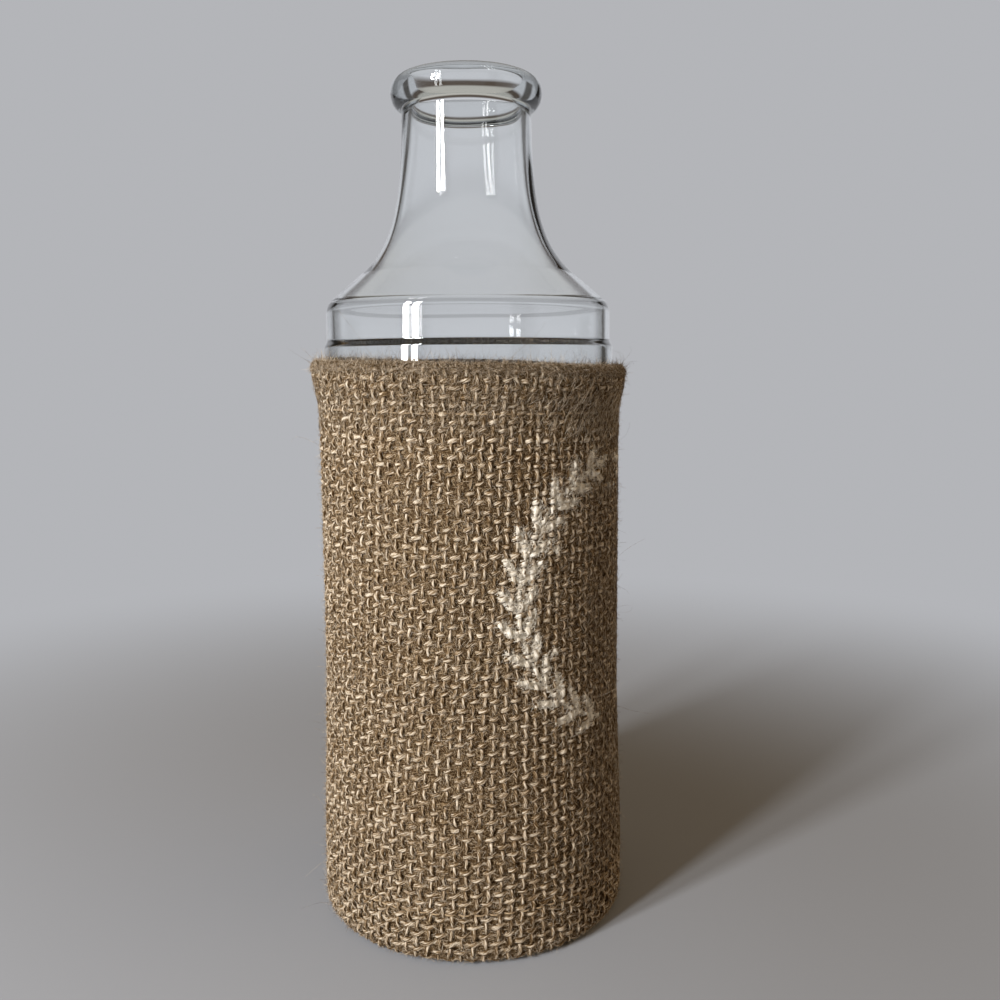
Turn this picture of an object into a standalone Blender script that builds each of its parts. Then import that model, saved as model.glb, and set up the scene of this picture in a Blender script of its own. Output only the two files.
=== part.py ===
"""Bottle vase: a clear glass bottle in a slip-on burlap sleeve with a white leaf wreath.

Metres, +Z up. The origin is the middle of the bottle's foot on the table. The wreath faces
-Y, the sleeve's sewn seam is at +Y, and the sleeve lifts off the bottle along +Z.
"""

import math

import bmesh
import bpy
from mathutils import Vector

# Bottle, outside
bottle_height = 0.208
body_radius = 0.0361
body_top = 0.1432
heel_radius = 0.0045
foot_width = 0.0065
punt_height = 0.0035

# The ledge where the wide body steps in to the narrower band under the shoulder
band_radius = 0.03535
ledge_height = 0.0018

# Shoulder: a rounded corner, a straight cone and a flare that dies away into the neck
shoulder_corner_height = 0.1536
shoulder_round = 0.0045
cone_angle = math.radians(49.5)
flare_length = 0.0095
neck_radius = 0.0157

# Lip: a thick rolled ring round the mouth
lip_radius = 0.01856
lip_height = 0.0072
mouth_round = 0.0022

# Glass thickness
body_wall = 0.0026
shoulder_wall = 0.0022
neck_wall = 0.0018
floor_thickness = 0.0050
inner_heel_radius = 0.0065

# Sleeve: one strip of burlap, its two long edges folded in, lapped and sewn at the back
sleeve_top = 0.141
sleeve_foot_gap = 0.0003
sleeve_clearance = 0.0003
cloth_thickness = 0.0012
hem_height = 0.0130
hem_full_height = 0.0030
hem_bulge = 0.0016
lap_width = 0.0180
lap_ease = 0.0060

# Sewing threads, which lie on the cloth and dip at each needle hole
thread_radius = 0.00025
thread_clearance = 0.0003
stitch_length = 0.0030
stitch_dip = 0.0002
hem_stitch_drop = 0.0120
seam_stitch_inset = 0.0040
seam_end_drop = 0.0150

# Wreath: two leafy sprigs of white film, pressed onto the cloth
wreath_height = 0.0850
wreath_radius = 0.0315
wreath_lower_gap = 0.0060
wreath_upper_gap = 0.0090
stem_width = 0.0010
leaf_pitch = 0.0062
leaf_length = 0.0072
leaf_width = 0.0024
leaf_angle = math.radians(36.0)
film_thickness = 0.0003
film_clearance = 0.0003
dot_radius = 0.0007
dot_gap = 0.00087
first_dot_angle = math.radians(62.0)
dot_step_angle = math.radians(57.0)
dots_each_side = 3
# Along the leaf from its foot, and how wide it is there
leaf_foot_share = 0.35
leaf_shape_shares = ((0.24, 0.86), (0.50, 1.0), (0.78, 0.58))

# How finely the round shapes are cut
bottle_sides = 48
dome_steps = 3
corner_steps = 4
flare_steps = 8
flare_step_power = 1.5
bead_steps = 9
sleeve_sides = 72
fold_steps = 5
hem_steps = 4
dot_sides = 12
sharp_angle = math.radians(50.0)


def clear_scene():
    """Removes whatever the file holds."""
    for old in list(bpy.data.objects):
        bpy.data.objects.remove(old, do_unlink=True)


def new_material(name, colour, roughness, transmission=0.0, ior=1.5):
    """A Principled material in one plain colour."""
    material = bpy.data.materials.new(name)
    material.use_nodes = True
    shader = material.node_tree.nodes["Principled BSDF"]
    shader.inputs["Base Color"].default_value = (*colour, 1.0)
    shader.inputs["Roughness"].default_value = roughness
    shader.inputs["Metallic"].default_value = 0.0
    shader.inputs["Transmission Weight"].default_value = transmission
    shader.inputs["IOR"].default_value = ior
    return material


def add_object(name, data, material, parent=None):
    """Puts a mesh or a curve into the scene under its piece's name."""
    item = bpy.data.objects.new(name, data)
    data.materials.append(material)
    bpy.context.scene.collection.objects.link(item)
    item.parent = parent
    return item


def mesh_from(name, solid):
    """Turns a bmesh into a mesh, with its faces pointing out."""
    bmesh.ops.recalc_face_normals(solid, faces=solid.faces)
    mesh = bpy.data.meshes.new(name)
    solid.to_mesh(mesh)
    solid.free()
    return mesh


def arc(centre, radii, start, end, steps):
    """Points (r, z) on an upright ellipse from one angle in degrees to another, both ends included."""
    points = []
    for i in range(steps + 1):
        angle = math.radians(start + (end - start) * i / steps)
        points.append((centre[0] + radii[0] * math.cos(angle), centre[1] + radii[1] * math.sin(angle)))
    return points


def blend(low, high, steps):
    """Points of a soft S between two (r, z) points, both ends included."""
    points = []
    for i in range(steps + 1):
        share = i / steps
        soft = (1 - math.cos(math.pi * share)) / 2
        points.append((low[0] + (high[0] - low[0]) * soft, low[1] + (high[1] - low[1]) * share))
    return points


def dome(edge_radius, edge_height, rise):
    """A shallow dome from the axis out to its edge, without the edge's own point."""
    shares = [i / dome_steps for i in range(dome_steps)]
    return [(edge_radius * s, edge_height + rise * (1 - s * s)) for s in shares]


def flare_radius(height, neck, start):
    """Radius of the flare at a height: it starts as steep as the cone and dies away to the neck."""
    reach = flare_length * math.tan(cone_angle)
    return neck + reach * math.exp(-(height - start) / flare_length)


def shoulder(side, corner_round, set_in, neck, top):
    """The side wall's corner, the cone and the flare, from the band up to the neck's top.

    side is the wall's radius, set_in how far the cone lies inside the outer one, measured
    level, and neck the radius that the flare dies away to.
    """
    slope = math.tan(cone_angle)
    corner = shoulder_corner_height + (band_radius - set_in - side) / slope
    tangent = corner_round * math.tan(cone_angle / 2)
    centre = (side - corner_round, corner - tangent)
    points = arc(centre, (corner_round, corner_round), 0, math.degrees(cone_angle), corner_steps)
    flare_foot = neck + flare_length * slope
    start = shoulder_corner_height + (band_radius - set_in - flare_foot) / slope
    for i in range(flare_steps + 1):
        share = (i / flare_steps) ** flare_step_power
        height = start + (top - start) * share
        points.append((flare_radius(height, neck, start), height))
    return points


def bottle_profile():
    """The bottle's section from the middle of its floor inside, over the lip, to its punt."""
    lip_middle = bottle_height - lip_height / 2
    neck_top = bottle_height - lip_height
    bore_top = bottle_height - mouth_round
    inner_radius = body_radius - body_wall
    inner_edge = inner_radius - inner_heel_radius
    inner_round = shoulder_round + shoulder_wall

    inside = dome(inner_edge, floor_thickness, punt_height)
    inside_heel = (inner_edge, floor_thickness + inner_heel_radius)
    inside += arc(inside_heel, (inner_heel_radius, inner_heel_radius), -90, 0, corner_steps)
    cone_set_in = shoulder_wall / math.cos(cone_angle)
    inside += shoulder(inner_radius, inner_round, cone_set_in, neck_radius - neck_wall, bore_top)

    foot_edge = body_radius - heel_radius - foot_width
    outside = [(foot_edge, 0.0)]
    outside_heel = (body_radius - heel_radius, heel_radius)
    outside += arc(outside_heel, (heel_radius, heel_radius), -90, 0, corner_steps)
    outside += blend((body_radius, body_top), (band_radius, body_top + ledge_height), corner_steps)
    outside += shoulder(band_radius, shoulder_round, 0, neck_radius, neck_top)
    neck_end = outside[-1][0]
    bead = arc((neck_end, lip_middle), (lip_radius - neck_end, lip_height / 2), -80, 90, bead_steps)
    bore_end = inside[-1][0]
    rim = arc((neck_end, bore_top), (bore_end - neck_end, mouth_round), 90, 0, corner_steps)[1:-1]
    outside += bead + rim

    punt = dome(foot_edge, 0.0, punt_height)
    return inside + outside[::-1] + punt[::-1]


def make_bottle(material):
    """The bottle, turned round its axis."""
    profile = bottle_profile()
    mesh = bpy.data.meshes.new("glass_bottle")
    edges = [(i, i + 1) for i in range(len(profile) - 1)]
    mesh.from_pydata([(r, 0.0, z) for r, z in profile], edges, [])
    bottle = add_object("glass_bottle", mesh, material)
    turn = bottle.modifiers.new("Turn", "SCREW")
    turn.axis = "Z"
    turn.steps = bottle_sides
    turn.render_steps = bottle_sides
    turn.use_merge_vertices = True
    turn.merge_threshold = 0.00001
    turn.use_smooth_shade = True
    return bottle


def sleeve_inner_radius():
    """The cloth's inside, which clears the bottle's body."""
    return body_radius + sleeve_clearance


def lap_extra(angle):
    """How far the lapped end stands out at an angle from the back, from 0 to a full turn.

    It is full from its cut edge across the lap, eases down past that, and rises to the cut edge
    over the last side of the sleeve.
    """
    full_turn = 2 * math.pi * sleeve_inner_radius()
    rise = full_turn / sleeve_sides
    across = angle * sleeve_inner_radius()
    if across <= lap_width:
        return cloth_thickness
    if across < lap_width + lap_ease:
        return cloth_thickness * (lap_width + lap_ease - across) / lap_ease
    return cloth_thickness * max(0.0, across + rise - full_turn) / rise


def cloth_radius(drop):
    """The cloth's outside at a distance from its folded edge: full at the hem, then the plain panel."""
    panel = sleeve_inner_radius() + cloth_thickness
    share = (drop - hem_full_height) / (hem_height - hem_full_height)
    share = min(max(share, 0.0), 1.0)
    return panel + hem_bulge * (1 + math.cos(math.pi * share)) / 2


def sleeve_section(extra):
    """One cut through the cloth as a closed loop of (r, z): top fold, outside and bottom fold."""
    inner = sleeve_inner_radius()
    hem = cloth_radius(0.0) + extra
    fold = (cloth_thickness + hem_bulge) / 2
    middle = (inner + hem) / 2
    half = (hem - inner) / 2
    span = hem_height - hem_full_height
    drops = [hem_full_height + span * i / hem_steps for i in range(hem_steps + 1)]
    loop = arc((middle, sleeve_top - fold), (half, fold), 180, 0, fold_steps)
    loop += [(cloth_radius(drop) + extra, sleeve_top - drop) for drop in drops]
    loop += [(cloth_radius(drop) + extra, sleeve_foot_gap + drop) for drop in drops[::-1]]
    loop += arc((middle, sleeve_foot_gap + fold), (half, fold), 0, -180, fold_steps)
    return loop


def make_sleeve(material, parent):
    """The burlap strip as a hollow tube, thicker at both hems and along the lap at the back."""
    solid = bmesh.new()
    rings = []
    for i in range(sleeve_sides):
        around = 2 * math.pi * i / sleeve_sides
        extra = lap_extra(around)
        ring = []
        for r, z in sleeve_section(extra):
            ring.append(solid.verts.new((r * math.sin(around), r * math.cos(around), z)))
        rings.append(ring)
    for i, ring in enumerate(rings):
        following = rings[(i + 1) % sleeve_sides]
        for j, corner in enumerate(ring):
            k = (j + 1) % len(ring)
            solid.faces.new((corner, following[j], following[k], ring[k]))
    mesh = mesh_from("burlap_sleeve", solid)
    mesh.shade_smooth()
    mesh.set_sharp_from_angle(angle=sharp_angle)
    return add_object("burlap_sleeve", mesh, material, parent)


def make_thread(name, points, closed, material, parent):
    """A sewing thread as a thin round tube along its points."""
    curve = bpy.data.curves.new(name, "CURVE")
    curve.dimensions = "3D"
    curve.bevel_depth = thread_radius
    curve.bevel_resolution = 0
    curve.use_fill_caps = not closed
    spline = curve.splines.new("POLY")
    spline.points.add(len(points) - 1)
    for point, place in zip(spline.points, points):
        point.co = (*place, 1.0)
    spline.use_cyclic_u = closed
    return add_object(name, curve, material, parent)


def hem_thread_points(height):
    """A stitch line right round a hem: each stitch stands up in its middle and dips at its ends."""
    cloth = cloth_radius(hem_stitch_drop)
    seat = thread_clearance + thread_radius
    stitches = round(2 * math.pi * cloth / stitch_length)
    points = []
    for i in range(2 * stitches):
        around = math.pi * i / stitches
        lift = stitch_dip if i % 2 else 0.0
        radius = cloth + lap_extra(around) + seat + lift
        points.append((radius * math.sin(around), radius * math.cos(around), height))
    return points


def seam_thread_points():
    """A stitch line up the lap, between the two hem lines."""
    around = seam_stitch_inset / sleeve_inner_radius()
    panel = cloth_radius(hem_height) + cloth_thickness
    seat = thread_clearance + thread_radius
    low = sleeve_foot_gap + seam_end_drop
    high = sleeve_top - seam_end_drop
    stitches = round((high - low) / stitch_length)
    points = []
    for i in range(2 * stitches + 1):
        radius = panel + seat + (stitch_dip if i % 2 else 0.0)
        height = low + (high - low) * i / (2 * stitches)
        points.append((radius * math.sin(around), radius * math.cos(around), height))
    return points


def flat_place(point):
    """Where a point (across, up) of a flat outline lies before it is wrapped."""
    return (point.x, 0.0, point.y)


def leaf_faces(solid, foot_verts, foot, along, aside):
    """A flat leaf grown from two corners of the stem: rows of corners up both edges, then the tip."""
    left, right = foot_verts
    for length_share, width_share in leaf_shape_shares:
        middle = foot + along * (leaf_length * length_share)
        half = aside * (leaf_width / 2 * width_share)
        next_left = solid.verts.new(flat_place(middle + half))
        next_right = solid.verts.new(flat_place(middle - half))
        solid.faces.new((left, right, next_right, next_left))
        left, right = next_left, next_right
    tip = solid.verts.new(flat_place(foot + along * leaf_length))
    solid.faces.new((left, right, tip))


def frame_at(turn):
    """The outward and onward directions of the right sprig at a turn from straight down."""
    outward = Vector((math.sin(turn), -math.cos(turn)))
    onward = Vector((math.cos(turn), math.sin(turn)))
    return outward, onward


def sprig_faces(solid):
    """The right sprig, flat, round the wreath's middle: a stem with leaves in pairs and one on its end."""
    start = wreath_lower_gap / wreath_radius
    end = math.pi - wreath_upper_gap / wreath_radius
    pairs = int((end - start) * wreath_radius / leaf_pitch)
    step = (end - start) / pairs
    foot_turn = leaf_width / 2 * leaf_foot_share / wreath_radius
    middles = [start + step * (i + 0.5) for i in range(pairs)]
    turns = [start] + [m + side * foot_turn for m in middles for side in (-1, 1)] + [end]

    rows = []
    for turn in turns:
        outward = frame_at(turn)[0]
        row = [outward * (wreath_radius + side * stem_width / 2) for side in (-1, 1)]
        rows.append([solid.verts.new(flat_place(place)) for place in row])
    for (inner, outer), (next_inner, next_outer) in zip(rows, rows[1:]):
        solid.faces.new((inner, outer, next_outer, next_inner))

    for i, middle in enumerate(middles):
        outward, onward = frame_at(middle)
        for side in (-1, 1):
            corner = (side + 1) // 2
            foot_verts = (rows[2 * i + 1][corner], rows[2 * i + 2][corner])
            foot = outward * (wreath_radius + side * stem_width / 2)
            along = onward * math.cos(leaf_angle) + outward * (side * math.sin(leaf_angle))
            aside = outward * (side * math.cos(leaf_angle)) - onward * math.sin(leaf_angle)
            leaf_faces(solid, foot_verts, foot, along, aside)
    outward, onward = frame_at(end)
    leaf_faces(solid, (rows[-1][1], rows[-1][0]), outward * wreath_radius, onward, outward)


def dot_faces(solid, turn):
    """A small flat disc inside the leaves' inner tips, at a turn from straight down."""
    leaf_reach = stem_width / 2 + leaf_length * math.sin(leaf_angle)
    middle = frame_at(turn)[0] * (wreath_radius - leaf_reach - dot_gap - dot_radius)
    corners = []
    for i in range(dot_sides):
        angle = 2 * math.pi * i / dot_sides
        place = middle + Vector((math.cos(angle), math.sin(angle))) * dot_radius
        corners.append(solid.verts.new(flat_place(place)))
    solid.faces.new(corners)


def make_film(name, flat, side, material, parent):
    """Thickens a flat film and wraps it round the sleeve's front. side is 1 for right, -1 for left."""
    under = cloth_radius(hem_height) + film_clearance
    raised = bmesh.ops.extrude_face_region(flat, geom=flat.faces[:], use_keep_orig=True)
    for vert in raised["geom"]:
        if isinstance(vert, bmesh.types.BMVert):
            vert.co.y = film_thickness
    for vert in flat.verts:
        around = side * vert.co.x / (under + film_thickness)
        radius = under + vert.co.y
        vert.co = (radius * math.sin(around), -radius * math.cos(around), wreath_height + vert.co.z)
    return add_object(name, mesh_from(name, flat), material, parent)


def make_wreath(material, parent):
    """Both sprigs and their loose dots."""
    for side, label in ((-1, "left"), (1, "right")):
        sprig = bmesh.new()
        sprig_faces(sprig)
        make_film(f"wreath_{label}_sprig", sprig, side, material, parent)
        for i in range(dots_each_side):
            dot = bmesh.new()
            dot_faces(dot, first_dot_angle + dot_step_angle * i)
            make_film(f"wreath_{label}_dot_{i + 1}", dot, side, material, parent)


def build():
    """Makes the bottle, and the sleeve with all that it carries under one empty."""
    clear_scene()
    glass = new_material("clear_glass", (0.86, 0.90, 0.88), 0.03, transmission=1.0, ior=1.52)
    burlap = new_material("burlap", (0.36, 0.25, 0.15), 0.90)
    thread = new_material("jute_thread", (0.30, 0.20, 0.11), 0.85)
    film = new_material("white_film", (0.74, 0.71, 0.64), 0.60)

    make_bottle(glass)
    sleeve_slide = bpy.data.objects.new("sleeve_slide", None)
    bpy.context.scene.collection.objects.link(sleeve_slide)
    make_sleeve(burlap, sleeve_slide)
    top_line = sleeve_top - hem_stitch_drop
    foot_line = sleeve_foot_gap + hem_stitch_drop
    make_thread("top_hem_thread", hem_thread_points(top_line), True, thread, sleeve_slide)
    make_thread("bottom_hem_thread", hem_thread_points(foot_line), True, thread, sleeve_slide)
    make_thread("back_seam_thread", seam_thread_points(), False, thread, sleeve_slide)
    make_wreath(film, sleeve_slide)


build()
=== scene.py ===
"""Bottle vase: the looks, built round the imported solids.

A clear glass bottle with a thick rolled lip stands in a loose burlap sleeve. The burlap is woven
here yarn by yarn, with both hems folded in, a lapped and sewn seam at the back, loose fibres, and
a white wreath that is pressed onto the yarns. Metres, +Z up. The wreath faces -Y, the seam +Y.
"""

import math
from collections import namedtuple

import bpy
import numpy as np
from mathutils import Matrix, Vector


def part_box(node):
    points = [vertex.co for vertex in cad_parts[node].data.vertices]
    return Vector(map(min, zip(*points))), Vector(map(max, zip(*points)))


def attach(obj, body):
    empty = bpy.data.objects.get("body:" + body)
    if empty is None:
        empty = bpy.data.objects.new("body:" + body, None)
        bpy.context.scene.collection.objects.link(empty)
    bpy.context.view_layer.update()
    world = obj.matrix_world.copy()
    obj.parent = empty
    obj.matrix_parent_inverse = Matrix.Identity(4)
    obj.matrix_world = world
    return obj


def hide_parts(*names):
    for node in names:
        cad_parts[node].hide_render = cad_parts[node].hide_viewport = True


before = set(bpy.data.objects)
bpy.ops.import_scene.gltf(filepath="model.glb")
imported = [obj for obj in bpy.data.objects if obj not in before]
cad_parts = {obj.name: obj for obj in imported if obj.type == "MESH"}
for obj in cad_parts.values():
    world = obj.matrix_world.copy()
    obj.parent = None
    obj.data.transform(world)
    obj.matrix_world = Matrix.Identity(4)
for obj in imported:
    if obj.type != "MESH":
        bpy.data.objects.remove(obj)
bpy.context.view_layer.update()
bottle_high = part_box("glass_bottle")[1]
sleeve_low, sleeve_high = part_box("burlap_sleeve")

mm = 0.001

# Camera: where the photograph was taken from, and how
camera_azimuth = math.radians(-65.5)
camera_distance = 0.256
camera_height = 0.1381
camera_pitch = math.radians(7.5)
camera_yaw = math.radians(1.72)
camera_roll = math.radians(0.35)
camera_lens = 36.0
nearest_seen = 0.01

# Light and background
backdrop_colour = (0.455, 0.462, 0.484)
seen_in_glass_colour = (0.620, 0.632, 0.665)
dark_side_colour = (0.085, 0.078, 0.070)
rail_colour = (0.085, 0.062, 0.045)
ceiling_colour = (0.500, 0.490, 0.450)
ambient_light = (0.235, 0.180, 0.124)
side_light = (1.150, 0.850, 0.500)
side_light_turn = math.radians(5.0)
window_turn = math.radians(-44.5)
window_rise = math.radians(18.9)
window_distance = 0.634
window_width = 0.053
window_height = 0.32
window_gap = 0.035
window_power = 3.28
window_colour = (1.0, 0.99, 0.98)
floor_colour = (0.315, 0.330, 0.360)
floor_radius = 3.0
floor_sides = 96
floor_gap = 0.2 * mm
floor_fade = (0.08, 0.42)

# Colour ramps, as stops of (place, colour)
screen_stops = ((0.52, seen_in_glass_colour), (0.60, dark_side_colour),
                (0.77, dark_side_colour), (0.84, seen_in_glass_colour))
rail_stops = ((0.45, rail_colour), (0.52, rail_colour), (0.58, ceiling_colour))
overhead_stops = ((0.36, (0.0, 0.0, 0.0)), (0.44, (1.0, 1.0, 1.0)))
ambient_stops = ((0.58, ambient_light), (0.94, side_light))
# Jute's colours; the painted shade on the yarns' margins reaches down to the darkest stops
jute_stops = ((0.08, (0.042, 0.021, 0.007)), (0.38, (0.145, 0.091, 0.042)),
              (0.62, (0.330, 0.236, 0.142)), (0.92, (0.690, 0.600, 0.475)))
thread_stops = ((0.10, (0.160, 0.100, 0.055)), (0.90, (0.520, 0.390, 0.240)))
white_stops = ((0.10, (0.285, 0.215, 0.135)), (0.40, (0.640, 0.570, 0.460)), (0.80, (0.885, 0.840, 0.750)))
# The matted layer: jute colours, with the darkest stops painted shade in the hollows between the yarns
mat_shade_stops = ((0.50, (0.022, 0.010, 0.003)), (0.60, (0.112, 0.068, 0.031)), (0.76, (0.480, 0.375, 0.245)))

# Surfaces
fibre_shine = 0.05
stretch_contrast = 0.7
# tone_contrast: how far the stored tone, with its painted shade, moves each colour
tone_contrast = 0.16
fibre_relief = 0.26 * mm
mat_relief = 0.35 * mm
mat_turns = (0.2, 1.4, 2.3)
glass_relief = 0.15 * mm
glass_tint = (0.985, 0.990, 0.992)
thick_glass_tint = (0.66, 0.69, 0.70)
thick_glass_density = 120.0
glass_bend = 1.50

# Bottle, as in the solids
body_radius = bottle_high.x
bottle_height = bottle_high.z
body_top = 143.2 * mm
heel_radius = 4.5 * mm
foot_width = 6.5 * mm
punt_height = 3.5 * mm
band_radius = 35.35 * mm
band_start = 1.5 * mm
ledge_height = 1.8 * mm
shoulder_corner_height = 153.6 * mm
shoulder_round = 4.5 * mm
inner_shoulder_round = 1.0 * mm
cone_angle = math.radians(49.5)
flare_length = 9.5 * mm
neck_radius = 15.7 * mm
lip_radius = 18.56 * mm
lip_height = 7.2 * mm
mouth_round = 2.2 * mm
body_wall = 2.6 * mm
shoulder_wall = 1.3 * mm
neck_wall = 1.8 * mm
floor_thickness = 5.0 * mm
inner_heel_radius = 6.5 * mm
bottle_sides = 192

# Bottle: the faint waves of its surfaces, each a share, a count round, radians up a metre and a start
outer_wave = 0.03 * mm
inner_wave = 0.14 * mm
glass_waves = ((1.0, 3, 55, 0.0), (0.7, 5, -90, 1.0), (0.5, 2, 140, 2.0))

# Burlap: its yarns
YarnForm = namedtuple("YarnForm", "runs_up width depth rise dip seat peak tilt")
warp_form = YarnForm(runs_up=True, width=0.98 * mm, depth=0.90 * mm, rise=0.50 * mm, dip=0.20 * mm,
                     seat=0.10 * mm, peak=0.9, tilt=0.08 * mm)
weft_form = YarnForm(runs_up=False, width=1.36 * mm, depth=0.86 * mm, rise=0.72 * mm, dip=0.05 * mm,
                     seat=-0.15 * mm, peak=1.7, tilt=-0.12 * mm)
warp_count = 106
weft_pitch = 2.0 * mm
yarn_outline = ((1.00, 0.00), (0.40, 0.82), (-0.40, 0.82))
# Painted shade: the yarn's thin margins, low between the yarns, are much darker and its core lighter
outline_shade_tones = (-3.0, 0.9, 0.9)
outline_lumps = (0.26, 0.08, 0.08)
lump_rows = 8
yarn_offset = 0.07 * mm
yarn_wander = 0.16 * mm
tilt_spread = 0.10 * mm
thickness_spread = 0.08
tone_spread = 0.3
slub_share = 0.17
bump_share = 0.07
plies = 3
ply_share = 0.12
ply_middle = 0.6
ply_length = 1.25 * mm
fibre_start_range = (0, 4000)
rise_range = (0.65, 1.25)
drift_waves = ((60 * mm, 0.5 * mm), (24 * mm, 0.2 * mm))
rings_per_crossing = 5
most_piece_triangles = 190000

# Burlap: the matted fibres between the yarns, darkened with painted shade
mat_step = 0.72 * mm
mat_height = 0.36 * mm
mat_foot_share = -0.2
mat_full_height = 34.0 * mm
mat_roughness = 0.15 * mm

# Burlap: how the strip is folded and lapped
cloth_gap = 0.05 * mm
cloth_inside = weft_form.dip + weft_form.depth / 2 - weft_form.seat
cloth_outside = weft_form.rise + weft_form.depth / 2 + weft_form.seat
fold_radius = 0.75 * mm
fold_press = 1.5 * mm
tucked_flatness = 0.6
rim_flatness = 0.5
rim_roll = 1.5 * mm
fold_width = 13.0 * mm
hem_full_height = 3.0 * mm
foot_full_height = 5.0 * mm
foot_ease = 70.0 * mm
lap_width = 18.0 * mm
lap_ease = 6.0 * mm
lap_lift = 1.40 * mm
rim_drop = 0.98 * mm
rim_drop_right = 0.90 * mm
rim_drop_front = 0.25 * mm
warp_lean = math.tan(math.radians(5.0))
lean_turn = math.radians(25.0)
swell_waves = ((70 * mm, 0.06 * mm), (30 * mm, 0.04 * mm))
deepest_swell = 0.1 * mm

# Sewing
thread_radius = 0.21 * mm
thread_ply_length = 0.9 * mm
thread_ply_share = 0.14
thread_tone = 0.4
thread_sides = 8
stitch_length = 3.0 * mm
stitch_rings = 10
stitch_rise = 1.5
stitch_sink = 0.8
stitch_flatness = 0.5
hem_stitch_drop = 12.0 * mm
hem_line_start = 1.5 * mm
hem_line_overlap = 1.0 * mm
seam_stitch_inset = 4.0 * mm
seam_end_drop = 15.0 * mm

# Loose fibres. Lengths are a median, a spread, the shortest and the longest.
laid_count = 75000
laid_radius = 0.040 * mm
laid_gap = 0.01 * mm
laid_lengths = (1.7 * mm, 0.4, 0.7 * mm, 4.0 * mm)
laid_hem = 16 * mm
laid_rim = 2.5 * mm
laid_depth = 0.1 * mm
laid_facing = -0.15
laid_rim_facing = 0.2
laid_body_share = 0.62
laid_press = 0.3
laid_slant = (0.35, 0.4)
laid_rise = (-0.05, 0.22)
crossing_rise = 0.25 * mm
crossing_length_spread = 0.35
crossing_curl = 0.7
fuzz_radius = 0.032 * mm
fuzz_foot = (0.3, 0.9)
fuzz_spread = 0.8
fuzz_rise = (0.1, 1.1)
stray_count = 340
rim_stray_count = 150
rim_stray_reach = (1.5 * mm, 1.0 * mm)
stray_radius = 0.024 * mm
stray_lengths = (2.8 * mm, 0.5, 1.2 * mm, 9.0 * mm)
stray_foot = 0.8
stray_rise = 0.8
stray_spread = 0.7
stray_upright = 0.35
rim_stray_upright = 0.9
lowest_hair = 0.08 * mm
hair_sides = 3
hair_tip_share = 0.45

# Loose fibres: how far each kind droops, its least and most bend and swerve, and its rings of points
Curl = namedtuple("Curl", "droop bends swerves rings")
laid_curl = Curl(0.12, (0.1, 0.5), (0.05, 0.3), 3)
fuzz_curl = Curl(0.1, (0.1, 0.7), (0.0, 0.25), 3)
stray_curl = Curl(0.0, (0.3, 1.0), (0.2, 0.6), 12)

# Wreath
wreath_height = 85.0 * mm
wreath_radius = 31.5 * mm
wreath_lower_gap = 6.0 * mm
wreath_upper_gap = 9.0 * mm
wreath_margin = 0.2 * mm
stem_width = 1.0 * mm
leaf_pitch = 6.2 * mm
leaf_length = 7.2 * mm
leaf_width = 2.4 * mm
leaf_tip = 0.02 * mm
leaf_fullness = 1.55
leaf_taper = 2.2
leaf_angle = math.radians(36.0)
dot_radius = 0.7 * mm
dot_spread = 0.1 * mm
dot_circle_radius = 25.2 * mm
first_dot_angle = math.radians(62.0)
dot_step_angle = math.radians(57.0)
dots_each_side = 3
mirror = np.array([-1.0, 1.0])

# Wreath: the white film and fibres
film_thickness = 0.07 * mm
film_sink_share = 0.4
film_cuts = 4
film_rings_per_crossing = 16
film_depth = 0.5 * mm
least_film_facing = 0.22
ragged_waves = ((1.1 * mm, 0.22 * mm), (0.5 * mm, 0.16 * mm))
mat_raggedness = 3.5
white_radius = 0.05 * mm
white_length = 1.2 * mm
white_ripple = 0.12 * mm
white_leaf_share = 0.88
white_fan = 0.3
white_spread = 0.15
white_per_leaf = 95
white_per_stem = 700
white_per_dot = 40


def unit(vectors):
    """Each vector at length 1."""
    return vectors / np.maximum(np.linalg.norm(vectors, axis=-1, keepdims=True), 1e-12)


def eased(knots, places):
    """Rows of random knots read at places that are counted in knots, eased from one to the next."""
    low = np.clip(np.floor(places).astype(int), 0, knots.shape[1] - 2)
    share = np.clip(places - low, 0.0, 1.0)
    share = share * share * (3 - 2 * share)
    rows = np.arange(knots.shape[0])[:, None]
    return knots[rows, low] * (1 - share) + knots[rows, low + 1] * share


def round_points(r, turn, z):
    """Points at a radius, a turn from +Y towards +X, and a height."""
    return np.stack(np.broadcast_arrays(r * np.sin(turn), r * np.cos(turn), z), axis=-1)


def facing(points, directions):
    """How squarely each direction faces away from the bottle's axis, from -1 to 1."""
    return np.sum(unit(points * np.array([1.0, 1.0, 0.0])) * directions, axis=1)


# Materials


def feed(tree, node, inputs):
    """Gives a node's inputs, each under its name or number, a socket, a colour or a number."""
    for name, value in inputs.items():
        socket = node.inputs[name]
        if isinstance(value, bpy.types.NodeSocket):
            tree.links.new(value, socket)
        else:
            socket.default_value = (*value, 1.0) if socket.type == "RGBA" else value


def add_node(tree, kind, inputs=None, **settings):
    """A shader node with its settings and its inputs."""
    node = tree.nodes.new(f"ShaderNode{kind}")
    for name, value in settings.items():
        setattr(node, name, value)
    feed(tree, node, inputs or {})
    return node


def new_material(name):
    """An empty node material and its Principled shader."""
    material = bpy.data.materials.new(name)
    material.use_nodes = True
    return material, material.node_tree, material.node_tree.nodes["Principled BSDF"]


def ramp(tree, source, stops):
    """A colour ramp fed by source."""
    node = add_node(tree, "ValToRGB", {"Fac": source})
    elements = node.color_ramp.elements
    while len(elements) < len(stops):
        elements.new(0.5)
    for element, (place, colour) in zip(elements, stops):
        element.position = place
        element.color = (*colour, 1.0)
    return node.outputs["Color"]


def maths(tree, operation, *values):
    """A Math node on values that are each a socket or a number."""
    return add_node(tree, "Math", dict(enumerate(values)), operation=operation).outputs[0]


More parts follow.
